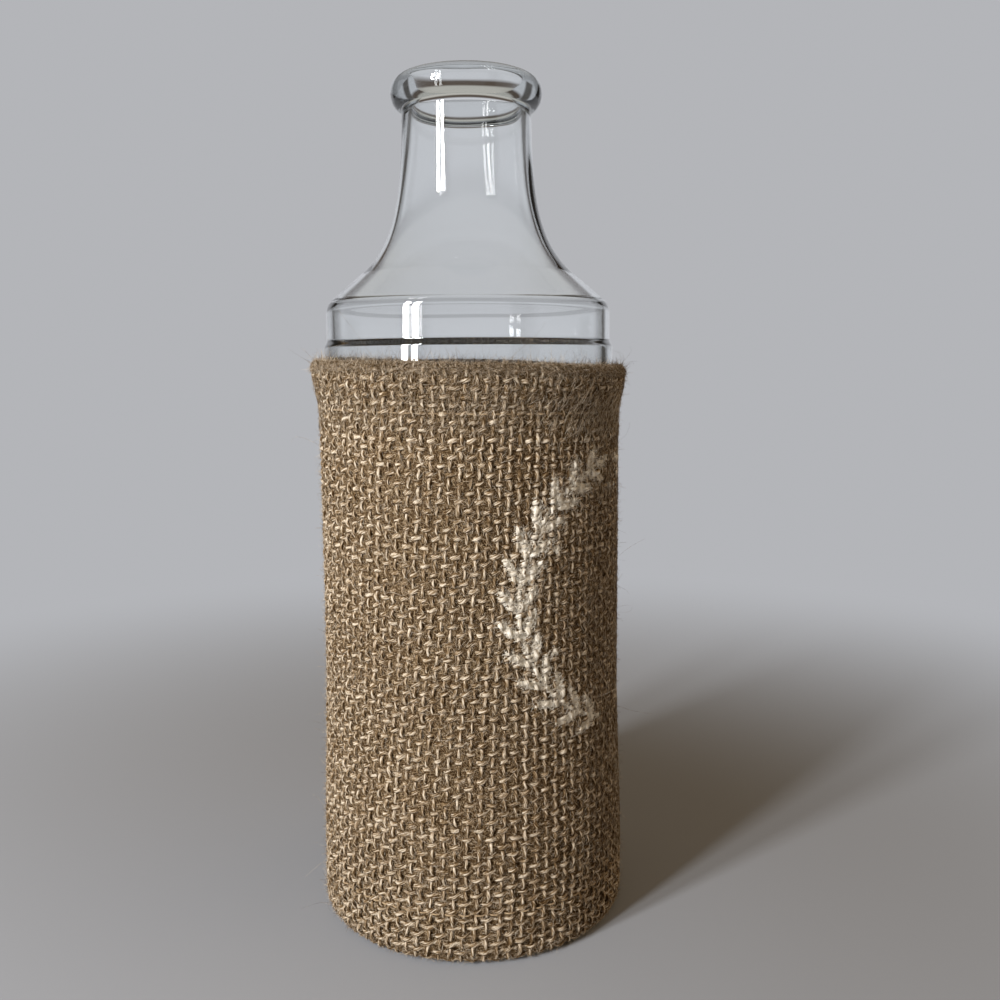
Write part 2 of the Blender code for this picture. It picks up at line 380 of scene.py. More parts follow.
def blended(tree, share, first, second):
    """A mix of two colours, each a socket or a plain colour."""
    return add_node(tree, "Mix", {"Factor": share, 6: first, 7: second}, data_type="RGBA").outputs[2]


def attribute(tree, name, output):
    """A stored value of the mesh."""
    return add_node(tree, "Attribute", attribute_name=name).outputs[output]


def stretched_noise(tree, place, fineness, detail, roughness=0.5):
    """Noise with its own fineness along each axis."""
    scaled = add_node(tree, "VectorMath", {0: place, 1: fineness}, operation="MULTIPLY").outputs[0]
    return add_node(tree, "TexNoise", {
        "Vector": scaled, "Scale": 1.0, "Detail": detail, "Roughness": roughness}).outputs["Fac"]


def add_relief(tree, shader, height, strength, distance):
    """Bumps on a material's surface."""
    bumps = add_node(tree, "Bump", {"Height": height, "Strength": strength, "Distance": distance})
    feed(tree, shader, {"Normal": bumps.outputs["Normal"]})


def fibre_material(name, stops, roughness, bump, contrast):
    """Jute or cotton: fine fibres along the yarn, paler and darker stretches, each yarn's tone and painted
    shade.
    """
    material, tree, shader = new_material(name)
    strand = attribute(tree, "strand", "Vector")
    fine = stretched_noise(tree, strand, (0.6, 4.0, 4.0), 2.0, 0.6)
    stretches = stretched_noise(tree, strand, (0.5, 1.2, 1.2), 2.0, 0.6)
    total = 0.5 - (contrast + stretch_contrast) / 2
    # The stored tone: each piece's own tone, and on the yarns painted shade at their margins
    tone = attribute(tree, "tone", "Fac")
    for source, strength in ((fine, contrast), (stretches, stretch_contrast), (tone, tone_contrast)):
        total = maths(tree, "MULTIPLY_ADD", source, strength, total)
    feed(tree, shader, {
        "Base Color": ramp(tree, total, stops), "Roughness": roughness, "Specular IOR Level": fibre_shine})
    add_relief(tree, shader, fine, bump, fibre_relief)
    return material


def mat_material():
    """Matted jute: fine fibres that cross one another in a few directions, near black with painted shade.
    """
    material, tree, shader = new_material("matted_shade_look")
    strand = attribute(tree, "strand", "Vector")
    fibres = 0.0
    for turn in mat_turns:
        turned_place = add_node(
            tree, "VectorRotate", {"Vector": strand, "Angle": turn}, rotation_type="Z_AXIS").outputs[0]
        fibres = maths(tree, "MAXIMUM", stretched_noise(tree, turned_place, (0.7, 5.0, 1.0), 1.0), fibres)
    feed(tree, shader, {
        "Base Color": ramp(tree, fibres, mat_shade_stops), "Roughness": 0.8, "Specular IOR Level": fibre_shine})
    add_relief(tree, shader, fibres, 1.0, mat_relief)
    return material


def glass_material():
    """Clear glass, faintly grey where it is thick, with a little unevenness in its surface."""
    material, tree, shader = new_material("clear_glass_look")
    feed(tree, shader, {
        "Base Color": glass_tint, "Roughness": 0.0, "IOR": glass_bend, "Transmission Weight": 1.0})
    depth = add_node(tree, "VolumeAbsorption", {"Color": thick_glass_tint, "Density": thick_glass_density})
    feed(tree, tree.nodes["Material Output"], {"Volume": depth.outputs[0]})
    place = add_node(tree, "TexCoord").outputs["Object"]
    add_relief(tree, shader, stretched_noise(tree, place, (90.0, 90.0, 90.0), 1.0), 0.25, glass_relief)
    return material


def floor_material():
    """A pale floor that fades into the background's own colour away from the object."""
    material, tree, shader = new_material("pale_floor")
    feed(tree, shader, {"Base Color": floor_colour, "Roughness": 0.9, "Specular IOR Level": 0.1})
    glow = add_node(tree, "Emission", {"Color": backdrop_colour})
    place = add_node(tree, "TexCoord").outputs["Object"]
    away = add_node(tree, "VectorMath", {0: place}, operation="LENGTH").outputs["Value"]
    ends = {"Value": away, "From Min": floor_fade[0], "From Max": floor_fade[1]}
    fade = add_node(tree, "MapRange", ends, interpolation_type="SMOOTHSTEP")
    parts = {"Fac": fade.outputs["Result"], 1: shader.outputs[0], 2: glow.outputs[0]}
    mix = add_node(tree, "MixShader", parts)
    feed(tree, tree.nodes["Material Output"], {"Surface": mix.outputs[0]})
    return material


looks = {
    "burlap": fibre_material("burlap_look", jute_stops, 0.75, 1.0, 2.8),
    "jute_thread": fibre_material("thread_look", thread_stops, 0.7, 0.6, 1.0),
    "white_film": fibre_material("white_look", white_stops, 0.55, 1.0, 1.8),
}


# Meshes


def add_mesh(name, points, polygons, material, smooth=True):
    """A mesh object from its points and from arrays of polygons, one array for each count of corners."""
    mesh = bpy.data.meshes.new(name)
    mesh.vertices.add(len(points))
    mesh.vertices.foreach_set("co", np.asarray(points, np.float32).ravel())
    loops = np.concatenate([p.ravel() for p in polygons]).astype(np.int32)
    sizes = np.concatenate([np.full(len(p), p.shape[1]) for p in polygons])
    mesh.loops.add(len(loops))
    mesh.loops.foreach_set("vertex_index", loops)
    mesh.polygons.add(len(sizes))
    mesh.polygons.foreach_set("loop_start", (np.cumsum(sizes) - sizes).astype(np.int32))
    mesh.update(calc_edges=True)
    if smooth:
        mesh.shade_smooth()
    mesh.materials.append(material)
    piece = bpy.data.objects.new(name, mesh)
    bpy.context.scene.collection.objects.link(piece)
    return piece


def fibre_mesh(name, points, polygons, strand, tone, material):
    """A mesh that stores each point's place along and across its yarn, and its tone."""
    piece = add_mesh(name, points.reshape(-1, 3), polygons, material)
    places = piece.data.attributes.new("strand", "FLOAT_VECTOR", "POINT")
    places.data.foreach_set("vector", np.asarray(strand, np.float32).ravel())
    tones = piece.data.attributes.new("tone", "FLOAT", "POINT")
    tones.data.foreach_set("value", np.asarray(tone, np.float32).ravel())
    return piece


def on_sleeve(piece, node=None):
    """Lets a piece ride on the sleeve and in place of its solid."""
    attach(piece, "sleeve")
    if node:
        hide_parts(node)
    return piece


def tube_polygons(tubes, rings, sides):
    """The side faces and both end caps of tubes whose points are ordered by tube, ring and side."""
    tube, ring, side = np.meshgrid(np.arange(tubes), np.arange(rings - 1), np.arange(sides), indexing="ij")
    here = (tube * rings + ring) * sides
    after = (side + 1) % sides
    quads = np.stack([here + side, here + sides + side, here + sides + after, here + after], axis=-1)
    first = (np.arange(tubes) * rings * sides)[:, None] + np.arange(sides)
    last = first[:, ::-1] + (rings - 1) * sides
    return quads.reshape(-1, 4), np.concatenate([first, last])


def tube_piece(name, points, strand, tone, slot, node=None):
    """A piece of the sleeve from its tubes' rings of points."""
    polygons = tube_polygons(*points.shape[:3])
    return on_sleeve(fibre_mesh(name, points, polygons, strand, tone, looks[slot]), node)


def tube_directions(middles, outward):
    """The forward, sideways and outward directions along tubes, from their middles and a rough outward."""
    forward = unit(np.gradient(middles, axis=1))
    aside = unit(np.cross(forward, outward))
    return forward, aside, np.cross(aside, forward)


def grid_polygons(columns, rows):
    """The faces of a grid of points."""
    column, row = np.meshgrid(np.arange(columns - 1), np.arange(rows - 1), indexing="ij")
    here = column * rows + row
    return np.stack([here, here + 1, here + rows + 1, here + rows], axis=-1).reshape(-1, 4)


# Glass bottle


def arc(centre, radii, start, end, steps):
    """Points (r, z) on an upright ellipse from one angle in degrees to another, both ends included."""
    turns = np.radians(np.linspace(start, end, steps + 1))
    return [(centre[0] + radii[0] * math.cos(t), centre[1] + radii[1] * math.sin(t)) for t in turns]


def blend(low, high, steps):
    """Points of a soft S between two (r, z) points, both ends included."""
    up = np.linspace(0.0, 1.0, steps + 1)
    shares = np.stack([(1 - np.cos(math.pi * up)) / 2, up], axis=-1)
    return list(low + (np.array(high) - low) * shares)


def dome(edge_radius, edge_height, rise, steps):
    """A shallow dome from the axis out to its edge, without the edge's own point."""
    return [(edge_radius * i / steps, edge_height + rise * (1 - (i / steps) ** 2)) for i in range(steps)]


def shoulder(side, corner_round, set_in, neck, top):
    """The side wall's corner, the cone and the flare, from the band up to the neck's top."""
    slope = math.tan(cone_angle)
    corner = shoulder_corner_height + (band_radius - set_in - side) / slope
    centre = (side - corner_round, corner - corner_round * math.tan(cone_angle / 2))
    points = arc(centre, (corner_round, corner_round), 0, math.degrees(cone_angle), 12)
    reach = flare_length * slope
    start = shoulder_corner_height + (band_radius - set_in - neck - reach) / slope
    for share in np.linspace(0.0, 1.0, 41) ** 1.5:
        height = start + (top - start) * share
        points.append((neck + reach * math.exp((start - height) / flare_length), height))
    return points


def bottle_section():
    """The bottle's inner and outer outlines, each from the axis at its foot to the mouth."""
    bore_top = bottle_height - mouth_round
    inner_radius = body_radius - body_wall
    inner_edge = inner_radius - inner_heel_radius
    heel = (inner_edge, floor_thickness + inner_heel_radius)
    cone_set_in = shoulder_wall / math.cos(cone_angle)
    inside = dome(inner_edge, floor_thickness, punt_height, 12)
    inside += arc(heel, (inner_heel_radius, inner_heel_radius), -90, 0, 12)
    inside += [(inner_radius, z) for z in np.linspace(heel[1], body_top, 24)[1:-1]]
    inside += shoulder(inner_radius, inner_shoulder_round, cone_set_in, neck_radius - neck_wall, bore_top)

    foot_edge = body_radius - heel_radius - foot_width
    outside = dome(foot_edge, 0.0, punt_height, 12) + [(foot_edge, 0.0)]
    outside += arc((body_radius - heel_radius, heel_radius), (heel_radius, heel_radius), -90, 0, 10)
    outside += [(body_radius, z) for z in np.linspace(heel_radius, body_top, 24)[1:-1]]
    outside += blend((body_radius, body_top), (band_radius, body_top + ledge_height), 10)
    outside += [(band_radius, body_top + ledge_height + band_start)]
    outside += shoulder(band_radius, shoulder_round, 0, neck_radius, bottle_height - lip_height)
    neck_end, bore_end = outside[-1][0], inside[-1][0]
    lip_middle = (neck_end, bottle_height - lip_height / 2)
    outside += arc(lip_middle, (lip_radius - neck_end, lip_height / 2), -80, 90, 28)
    outside += arc((neck_end, bore_top), (bore_end - neck_end, mouth_round), 90, 0, 12)[1:-1]
    return inside, outside


def make_bottle():
    """The bottle, turned round its axis, with the faint waves that pressed and blown glass has."""
    inside, outside = bottle_section()
    line = np.array(inside + outside[::-1])
    wave_heights = np.repeat([inner_wave, outer_wave], [len(inside), len(outside)])[:, None]
    turns = np.linspace(0.0, 2 * math.pi, bottle_sides, endpoint=False)
    r, z = line[:, :1], line[:, 1:]
    wave = sum(share * np.sin(count * turns + rate * z + at) for share, count, rate, at in glass_waves)
    steady = np.clip(r / neck_radius, 0.0, 1.0) * np.clip((z - heel_radius) / heel_radius, 0.0, 1.0)
    points = round_points(r + wave_heights * wave * steady, turns, z)[1:-1]
    poles = [[0.0, 0.0, line[0, 1]], [0.0, 0.0, line[-1, 1]]]

    # The section runs up the inside first, so the side faces are turned over
    count = points.shape[0] * bottle_sides
    quads = np.roll(tube_polygons(1, points.shape[0], bottle_sides)[0][:, ::-1], 1, axis=1)
    start = np.arange(bottle_sides)
    after = (start + 1) % bottle_sides
    last_ring = count - bottle_sides
    floor_fan = np.stack([np.full(bottle_sides, count), after, start], axis=-1)
    punt_fan = np.stack([np.full(bottle_sides, count + 1), last_ring + start, last_ring + after], axis=-1)
    points = np.concatenate([points.reshape(-1, 3), poles])
    bottle = add_mesh("clear_bottle", points, [quads, floor_fan, punt_fan], glass_material())
    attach(bottle, "bottle")
    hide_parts("glass_bottle")


# The burlap strip: where a point of the cloth lies. Its section has distances along its middle line,
# and r, z and the outward normal's r and z at each.

Section = namedtuple("Section", "distance r z out_r out_z")


def cloth_section():
    """The cloth's middle line from its raw edge inside the foot, round both folds, to its other edge."""
    low = sleeve_low.z + fold_radius + cloth_inside
    high = sleeve_high.z - fold_radius - cloth_outside
    middle = panel_radius + fold_radius
    points = [(panel_radius, z) for z in np.linspace(sleeve_low.z + fold_width, low, 40)]
    points += arc((middle, low), (fold_radius, fold_radius), 180, 360, 24)[1:]
    for z in np.linspace(low, high, 600)[1:-1]:
        above_foot = (z - sleeve_low.z - foot_full_height) / (foot_ease - foot_full_height)
        below_top = (sleeve_high.z - z - hem_full_height) / (fold_width - hem_full_height)
        share = min(max(min(above_foot, below_top), 0.0), 1.0)
        points.append((panel_radius + fold_radius * (1 + math.cos(math.pi * share)), z))
    points += arc((middle, high), (fold_radius, fold_radius), 0, 180, 24)
    points += [(panel_radius, z) for z in np.linspace(high, sleeve_high.z - fold_width, 40)][1:]
    line = np.array(points)
    steps = np.linalg.norm(np.diff(line, axis=0), axis=1)
    distance = np.concatenate([[0.0], np.cumsum(steps)])
    tangent = unit(np.gradient(line, distance, axis=0))
    return Section(distance, line[:, 0], line[:, 1], tangent[:, 1], -tangent[:, 0])


panel_radius = body_radius + cloth_gap + cloth_inside
section = cloth_section()
section_length = section.distance[-1]
foot_fold = section.distance[np.argmin(section.z)]
top_fold = section.distance[np.argmax(section.z)]
full_turn = 2 * math.pi * panel_radius
strip_length = full_turn + lap_width
warp_pitch = strip_length / warp_count
weft_count = int(section_length / weft_pitch)


def lap_extra(across):
    """How far the strip stands out at a distance from its outer cut edge, where it lies on its own end."""
    share = np.clip((across - lap_width) / lap_ease, 0.0, 1.0)
    return lap_lift * (1 + np.cos(math.pi * share)) / 2


def waves(across, up, seed, sizes):
    """Slow random waves over the cloth. sizes are pairs of wavelength and height."""
    chance = np.random.default_rng(seed)
    total = 0.0
    for length, height in sizes:
        for _ in range(3):
            turn, phase = chance.uniform(0, 2 * math.pi, 2)
            total = total + height / 3 * np.sin(
                2 * math.pi * (across * math.cos(turn) + up * math.sin(turn)) / length + phase)
    return total


def cloth_place(across, up, out):
    """The point at a distance along the strip, up its section and out from its middle, and its normal."""
    r, z, out_r, out_z = (np.interp(up, section.distance, values) for values in section[1:])
    height_share = (z - sleeve_low.z) / (sleeve_high.z - sleeve_low.z)
    turn = across / panel_radius
    seen_turn = turn + camera_azimuth
    drop = rim_drop - rim_drop_front * np.cos(seen_turn) + rim_drop_right * np.sin(seen_turn)
    tucked = np.clip((fold_width - np.minimum(up, section_length - up)) / fold_press, 0.0, 1.0)
    rim = np.exp(-(np.minimum(np.abs(up - top_fold), np.abs(up - foot_fold)) / rim_roll) ** 2)
    out = np.where(out > 0, out * (1 - tucked_flatness * tucked) * (1 - rim_flatness * rim), out)
    left = np.clip(np.cos(turn - math.pi + camera_azimuth - lean_turn), 0.0, 1.0)
    turn = turn - warp_lean * left ** 2 * (z - sleeve_high.z / 2) / panel_radius
    swell = np.maximum(waves(across, z, 5, swell_waves), -deepest_swell)
    r = r + lap_extra(across) + out_r * out + swell
    z = z + out_z * out - drop * height_share ** 6
    return round_points(r, turn, z), round_points(out_r, turn, out_z)


def panel_distance(height):
    """How far up the section the outside of the sleeve has a height."""
    outer = (section.distance > fold_width) & (section.distance < section_length - fold_width)
    return np.interp(height, section.z[outer], section.distance[outer])


# Yarns


def outline(finer):
    """A yarn's cross-section: a round core between two thin hairy margins.

    Returns each point's share of the half width and half depth, its tone and how rough it is, with
    each side of the outline cut into finer parts. The tone is painted shade: the margins darker, the core
    lighter.
    """
    half = np.column_stack([yarn_outline, outline_shade_tones, outline_lumps])
    other = half * np.array([-1.0, -1.0, 1.0, 1.0])
    ring = np.concatenate([half, other, half[:1]])
    places = np.arange(len(ring) * 1.0)
    wanted = np.arange((len(ring) - 1) * finer) / finer
    return [np.interp(wanted, places, ring[:, column]) for column in range(4)]


class Yarns:
    """One family of yarns: the warps, which run up the cloth, or the wefts, which run along it."""

    def __init__(self, form, seed):
        chance = np.random.default_rng(seed)
        self.form = form
        counts = (warp_count, weft_count)
        self.count, self.crossings = counts if form.runs_up else counts[::-1]
        self.pitch = weft_pitch if form.runs_up else warp_pitch
        knots = self.crossings + 4
        self.offset = chance.normal(0.0, yarn_offset, self.count)
        self.thickness = chance.normal(1.0, thickness_spread, self.count)
        self.tone = chance.normal(0.0, tone_spread, self.count)
        self.start = chance.uniform(*fibre_start_range, self.count)
        self.wander = chance.uniform(-1, 1, (self.count, knots // 3 + 3))
        self.slubs = chance.uniform(-1, 1, (self.count, knots // 2 + 3))
        self.bumps = chance.uniform(-1, 1, (self.count, knots * 2 + 3))
        self.twist = chance.uniform(0.8, 1.2, self.count) / ply_length
        self.lumps = chance.uniform(-1, 1, (self.count * lump_rows, knots * 3 + 3))
        self.heights = chance.uniform(*rise_range, (self.count, knots))
        self.tilts = chance.normal(form.tilt, tilt_spread, (self.count, knots))

    def places(self, which, rings):
        """Crossing counts along the yarns in which, from one cut end to the other."""
        return np.broadcast_to(np.linspace(-0.5, self.crossings - 0.5, rings), (len(which), rings))

    def centres(self, which, along):
        """Middle points and outward normals of the yarns in which, at crossing counts along them."""
        form, other, knots = self.form, which[:, None], along + 1
        parity = np.where(other % 2 == 0, 1.0, -1.0) * (1 if form.runs_up else -1)
        wave = parity * np.cos(math.pi * along)
        rise = form.rise * eased(self.heights[which], knots) * np.abs(wave) ** form.peak
        out = form.seat + np.where(wave > 0, rise, form.dip * wave)
        wander = eased(self.wander[which], knots / 3) * yarn_wander + self.offset[which][:, None]
        wander = wander + parity * np.sin(math.pi * along) * eased(self.tilts[which], knots)
        if form.runs_up:
            across, up = (other + 0.5) * warp_pitch + wander, (along + 0.5) * weft_pitch
        else:
            across, up = (along + 0.5) * warp_pitch, (other + 0.5) * weft_pitch + wander
        across = across + waves(across, up, 11, drift_waves)
        up = up + waves(across, up, 12, drift_waves)
        return cloth_place(np.clip(across, 0.0, strip_length), np.clip(up, 0.0, section_length), out)

    def rings(self, which, along, finer):
        """The yarns' rings of points, with each one's outward direction, fibre place, and tone with painted
        shade.
        """
        centres, outward = self.centres(which, along)
        forward, aside, outward = tube_directions(centres, outward)
        knots = along + 1
        swell = self.thickness[which][:, None] * (1 + slub_share * eased(self.slubs[which], knots / 2))
        swell = (swell * (1 + bump_share * eased(self.bumps[which], knots * 2)))[..., None]
        wide, deep, tones, rough = outline(finer)
        rows = [which * lump_rows + int(side * lump_rows / len(wide)) for side in range(len(wide))]
        lump = np.stack([eased(self.lumps[row], knots * 3) for row in rows], axis=-1)
        length = along * self.pitch
        start = self.start[which][:, None, None]
        spin = np.arctan2(deep, wide) - (length * self.twist[which][:, None])[..., None]
        twisted = ply_share * (np.abs(np.cos(plies / 2 * spin + start)) - ply_middle)
        size = (swell * (1 + rough * lump + twisted))[..., None]
        spokes = (
            wide[:, None] * aside[:, :, None, :] * self.form.width / 2
            + deep[:, None] * outward[:, :, None, :] * self.form.depth / 2
        )
        points = centres[:, :, None, :] + spokes * size
        strand = yarn_strand(length[..., None] / mm + start, spin, self.form.width / 2 * swell)
        # Each yarn's own tone, plus painted shade: the margins darker, the core lighter
        tone = np.broadcast_to(tones + self.tone[which][:, None, None], spin.shape)
        return points, unit(spokes), forward, strand, tone


def yarn_strand(length, spin, radius):
    """Each point's fibre place in millimetres: along its yarn, and across it at a spin and a radius."""
    across = (np.cos(spin) * radius / mm, np.sin(spin) * radius / mm)
    return np.stack(np.broadcast_arrays(length, *across), axis=-1)


def weave(yarns, label):
    """Makes one family's yarns, in pieces that stay under the most triangles for one piece."""
    rings = yarns.crossings * rings_per_crossing + 1
    group = most_piece_triangles // (rings * len(outline(1)[0]) * 2)
    pieces, surfaces = [], []
    for start in range(0, yarns.count, group):
        which = np.arange(start, min(start + group, yarns.count))
        points, spokes, forward, strand, tone = yarns.rings(which, yarns.places(which, rings), 1)
        pieces.append(tube_piece(f"{label}_{len(pieces) + 1}", points, strand, tone, "burlap"))
        surfaces.append((points, spokes, forward))
    return pieces, surfaces


def mat_grid():
    """The matted layer's points, outward directions and fibre places, in a grid of columns and rows."""
    chance = np.random.default_rng(18)
    columns = np.linspace(0.0, strip_length, int(strip_length / mat_step))
    rows = np.linspace(0.0, section_length, int(section_length / mat_step))
    across, up = np.meshgrid(columns, rows, indexing="ij")
    height = mat_height * np.clip((up - foot_fold) / mat_full_height, mat_foot_share, 1.0)
    points, out = cloth_place(across, up, height + chance.normal(0, mat_roughness, across.shape))
    return points, out, np.stack([across, up, np.zeros_like(up)], axis=-1) / mm


def make_mat():
    """The matted fibres between the yarns, as one thin rough layer through the weave, dark with painted
    shade.
    """
    points, _, strand = mat_grid()
    polygons = [grid_polygons(*points.shape[:2])]
    tone = np.zeros(points.shape[:2])
    return on_sleeve(fibre_mesh("matted_fibres", points, polygons, strand, tone, mat_material()))


# Wreath: its shape, on the flat


def turned(angle):
    """The outward and onward directions of the right sprig at an angle from straight down."""
    outward, onward = (np.sin(angle), -np.cos(angle)), (np.cos(angle), np.sin(angle))
    return np.stack(outward, axis=-1), np.stack(onward, axis=-1)


def sideways(direction):
    """The flat direction square to another one."""
    return np.array([-direction[1], direction[0]])


def sprig_leaves():
    """The foot and direction of each leaf of the right sprig, and the angles where its stem ends."""
    start, end = wreath_lower_gap / wreath_radius, math.pi - wreath_upper_gap / wreath_radius
    pairs = int((end - start) * wreath_radius / leaf_pitch)
    leaves = []
    for i in range(pairs):
        outward, onward = turned(start + (end - start) / pairs * (i + 0.5))
        for side in (-1, 1):
            foot = outward * (wreath_radius + side * stem_width / 2)
            leaves.append((foot, onward * math.cos(leaf_angle) + outward * side * math.sin(leaf_angle)))
    outward, onward = turned(end)
    leaves.append((outward * wreath_radius, onward))
    return leaves, start, end


def leaf_half_width(along):
    """Half a leaf's width at a share of its length."""
    return leaf_width / 2 * np.sqrt(along) * (1 - along ** leaf_taper) * leaf_fullness + leaf_tip


def in_sprig(places):
    """How far inside the right sprig each flat place is; below 0 is outside."""
    leaves, start, end = sprig_leaves()
    angle = np.arctan2(places[:, 0], -places[:, 1])
    depth = stem_width / 2 - np.abs(np.linalg.norm(places, axis=1) - wreath_radius)
    depth = np.where((angle > start) & (angle < end), depth, -1.0)
    for foot, direction in leaves:
        away = places - foot
        along = away @ direction / leaf_length
        inside = leaf_half_width(np.clip(along, 0, 1)) - np.abs(away @ sideways(direction))
        depth = np.maximum(depth, np.where((along > 0) & (along < 1), inside, -1.0))
    return depth


def dot_middle(index):
    """The middle of one loose dot of the right half."""
    return turned(first_dot_angle + dot_step_angle * index)[0] * dot_circle_radius


def in_dot(places, index):
    """How far inside one loose dot of the right half each flat place is, with the spread of its white."""
    return dot_radius - np.linalg.norm(places - dot_middle(index), axis=1) + dot_spread


def flat_places(points):
    """Points of the sleeve as places (across, up) from the wreath's middle, as unrolled."""
    angle = np.arctan2(points[..., 0], -points[..., 1])
    return np.stack([angle * panel_radius, points[..., 2] - wreath_height], axis=-1)


# Loose fibres


def hair_piece(name, paths, radii, tones, chance, slot="burlap"):
    """Thin hairs with few sides along their paths, thinner towards the tip."""
    count, rings = paths.shape[:2]
    paths = np.concatenate([paths[..., :2], np.maximum(paths[..., 2:], lowest_hair)], axis=-1)
    _, aside, outward = tube_directions(paths, unit(chance.normal(size=(count, 1, 3))))
    turns = 2 * math.pi * np.arange(hair_sides)[:, None] / hair_sides
    taper = np.linspace(1.0, hair_tip_share, rings)[None, :, None, None] * radii[:, None, None, None]
    spokes = np.cos(turns) * aside[:, :, None] + np.sin(turns) * outward[:, :, None]
    points = paths[:, :, None] + spokes * taper
    steps = np.linalg.norm(np.diff(paths, axis=1), axis=2)
    length = np.concatenate([np.zeros((count, 1)), np.cumsum(steps, axis=1)], axis=1) / mm
    strand = np.zeros_like(points)
    strand[..., 0] = (length + chance.uniform(*fibre_start_range, (count, 1)))[..., None]
    tone = np.broadcast_to(tones[:, None, None], points.shape[:3])
    return tube_piece(name, points, strand, tone, slot)


def hair_pieces(label, paths, chance, radius, radius_range, tone, tone_spread):
    """Hairs that leave the wreath clear, in pieces that stay under the most triangles for one piece."""
    radii = radius * chance.uniform(*radius_range, len(paths))
    tones = chance.normal(tone, tone_spread, len(paths))
    places = flat_places(paths[:, paths.shape[1] // 2])
    places[:, 0] = np.abs(places[:, 0])
    keep = in_sprig(places) < -wreath_margin
    paths, radii, tones = paths[keep], radii[keep], tones[keep]
    group = most_piece_triangles // (paths.shape[1] * hair_sides * 2)
    parts = [slice(start, start + group) for start in range(0, len(paths), group)]
    return [hair_piece(f"{label}_{i + 1}", paths[part], radii[part], tones[part], chance)
            for i, part in enumerate(parts)]


def random_ways(chance, count, low, high):
    """Random directions, each with a random length from low to high."""
    return unit(chance.normal(size=(count, 3))) * chance.uniform(low, high, (count, 1))


def random_lengths(chance, count, median, spread, shortest, longest):
    """Random lengths round a median, none shorter or longer than the last two."""
    return np.clip(chance.lognormal(math.log(median), spread, count), shortest, longest)


def curled_paths(chance, base, direction, out, curl, lengths):
    """Paths from base points: they set off along direction, bend, droop against out, and swerve."""
    bend = random_ways(chance, len(base), *curl.bends) - out * curl.droop
    swerve = random_ways(chance, len(base), *curl.swerves)
    length = random_lengths(chance, len(base), *lengths)[:, None, None]
    share = np.linspace(0.0, 1.0, curl.rings)[None, :, None]
    shape = direction[:, None] * share + bend[:, None] * share ** 2
    return base[:, None] + (shape + swerve[:, None] * np.sin(3 * share) * share) * length


def pressed(paths, share):
    """Paths with only a share of their rise off the cloth."""
    radius = np.linalg.norm(paths[..., :2], axis=-1, keepdims=True)
    wanted = radius[:, :1] + (radius - radius[:, :1]) * share
    return np.concatenate([paths[..., :2] * wanted / radius, paths[..., 2:]], axis=-1)


def on_outer_side(place, out, luck):
    """True for points that face out or lie on the top fold, and for fewer of those below the hem."""
    radius = np.linalg.norm(place[:, :2], axis=1)
    on_hem = place[:, 2] > sleeve_high.z - laid_hem
    on_fold = (place[:, 2] > sleeve_high.z - laid_rim) & (out[:, 2] > laid_rim_facing)
    wanted = (facing(place, out) > laid_facing) & (radius > panel_radius - laid_depth) | on_fold
    return wanted & (luck < np.where(on_hem, 1.0, laid_body_share))


def yarn_seats(surfaces, chance, count):
    """Random points on the yarns' outer sides, with the outward and forward directions there."""
    found = []
    sizes = np.array([points.shape[0] * points.shape[1] for points, _, _ in surfaces], float)
    for (points, spokes, forward), share in zip(surfaces, sizes / sizes.sum()):
        tries = int(count * share * 6) + 8
        tube, ring, side = (chance.integers(0, n, tries) for n in points.shape[:3])
        place, out = points[tube, ring, side], spokes[tube, ring, side]
        chosen = np.flatnonzero(on_outer_side(place, out, chance.random(tries)))[:math.ceil(count * share)]
        found.append((place[chosen], out[chosen], forward[tube[chosen], ring[chosen]]))
    return [np.concatenate(part)[:count] for part in zip(*found)]


def make_laid(surfaces):
    """The loose fibres that lie along the yarns and bridge from one to the next, in pieces."""
    chance = np.random.default_rng(20)
    base, out, forward = yarn_seats(surfaces, chance, laid_count)
    count = len(base)
    way = chance.choice([-1.0, 1.0], (count, 1))
    direction = forward * way + np.cross(forward, out) * way * chance.normal(*laid_slant, (count, 1))
    direction = unit(direction + out * chance.uniform(*laid_rise, (count, 1)))
    paths = curled_paths(chance, base + out * laid_gap, direction, out, laid_curl, laid_lengths)
    return hair_pieces("laid_fibres", pressed(paths, laid_press), chance, laid_radius, (0.7, 1.3), 1.2, 1.8)


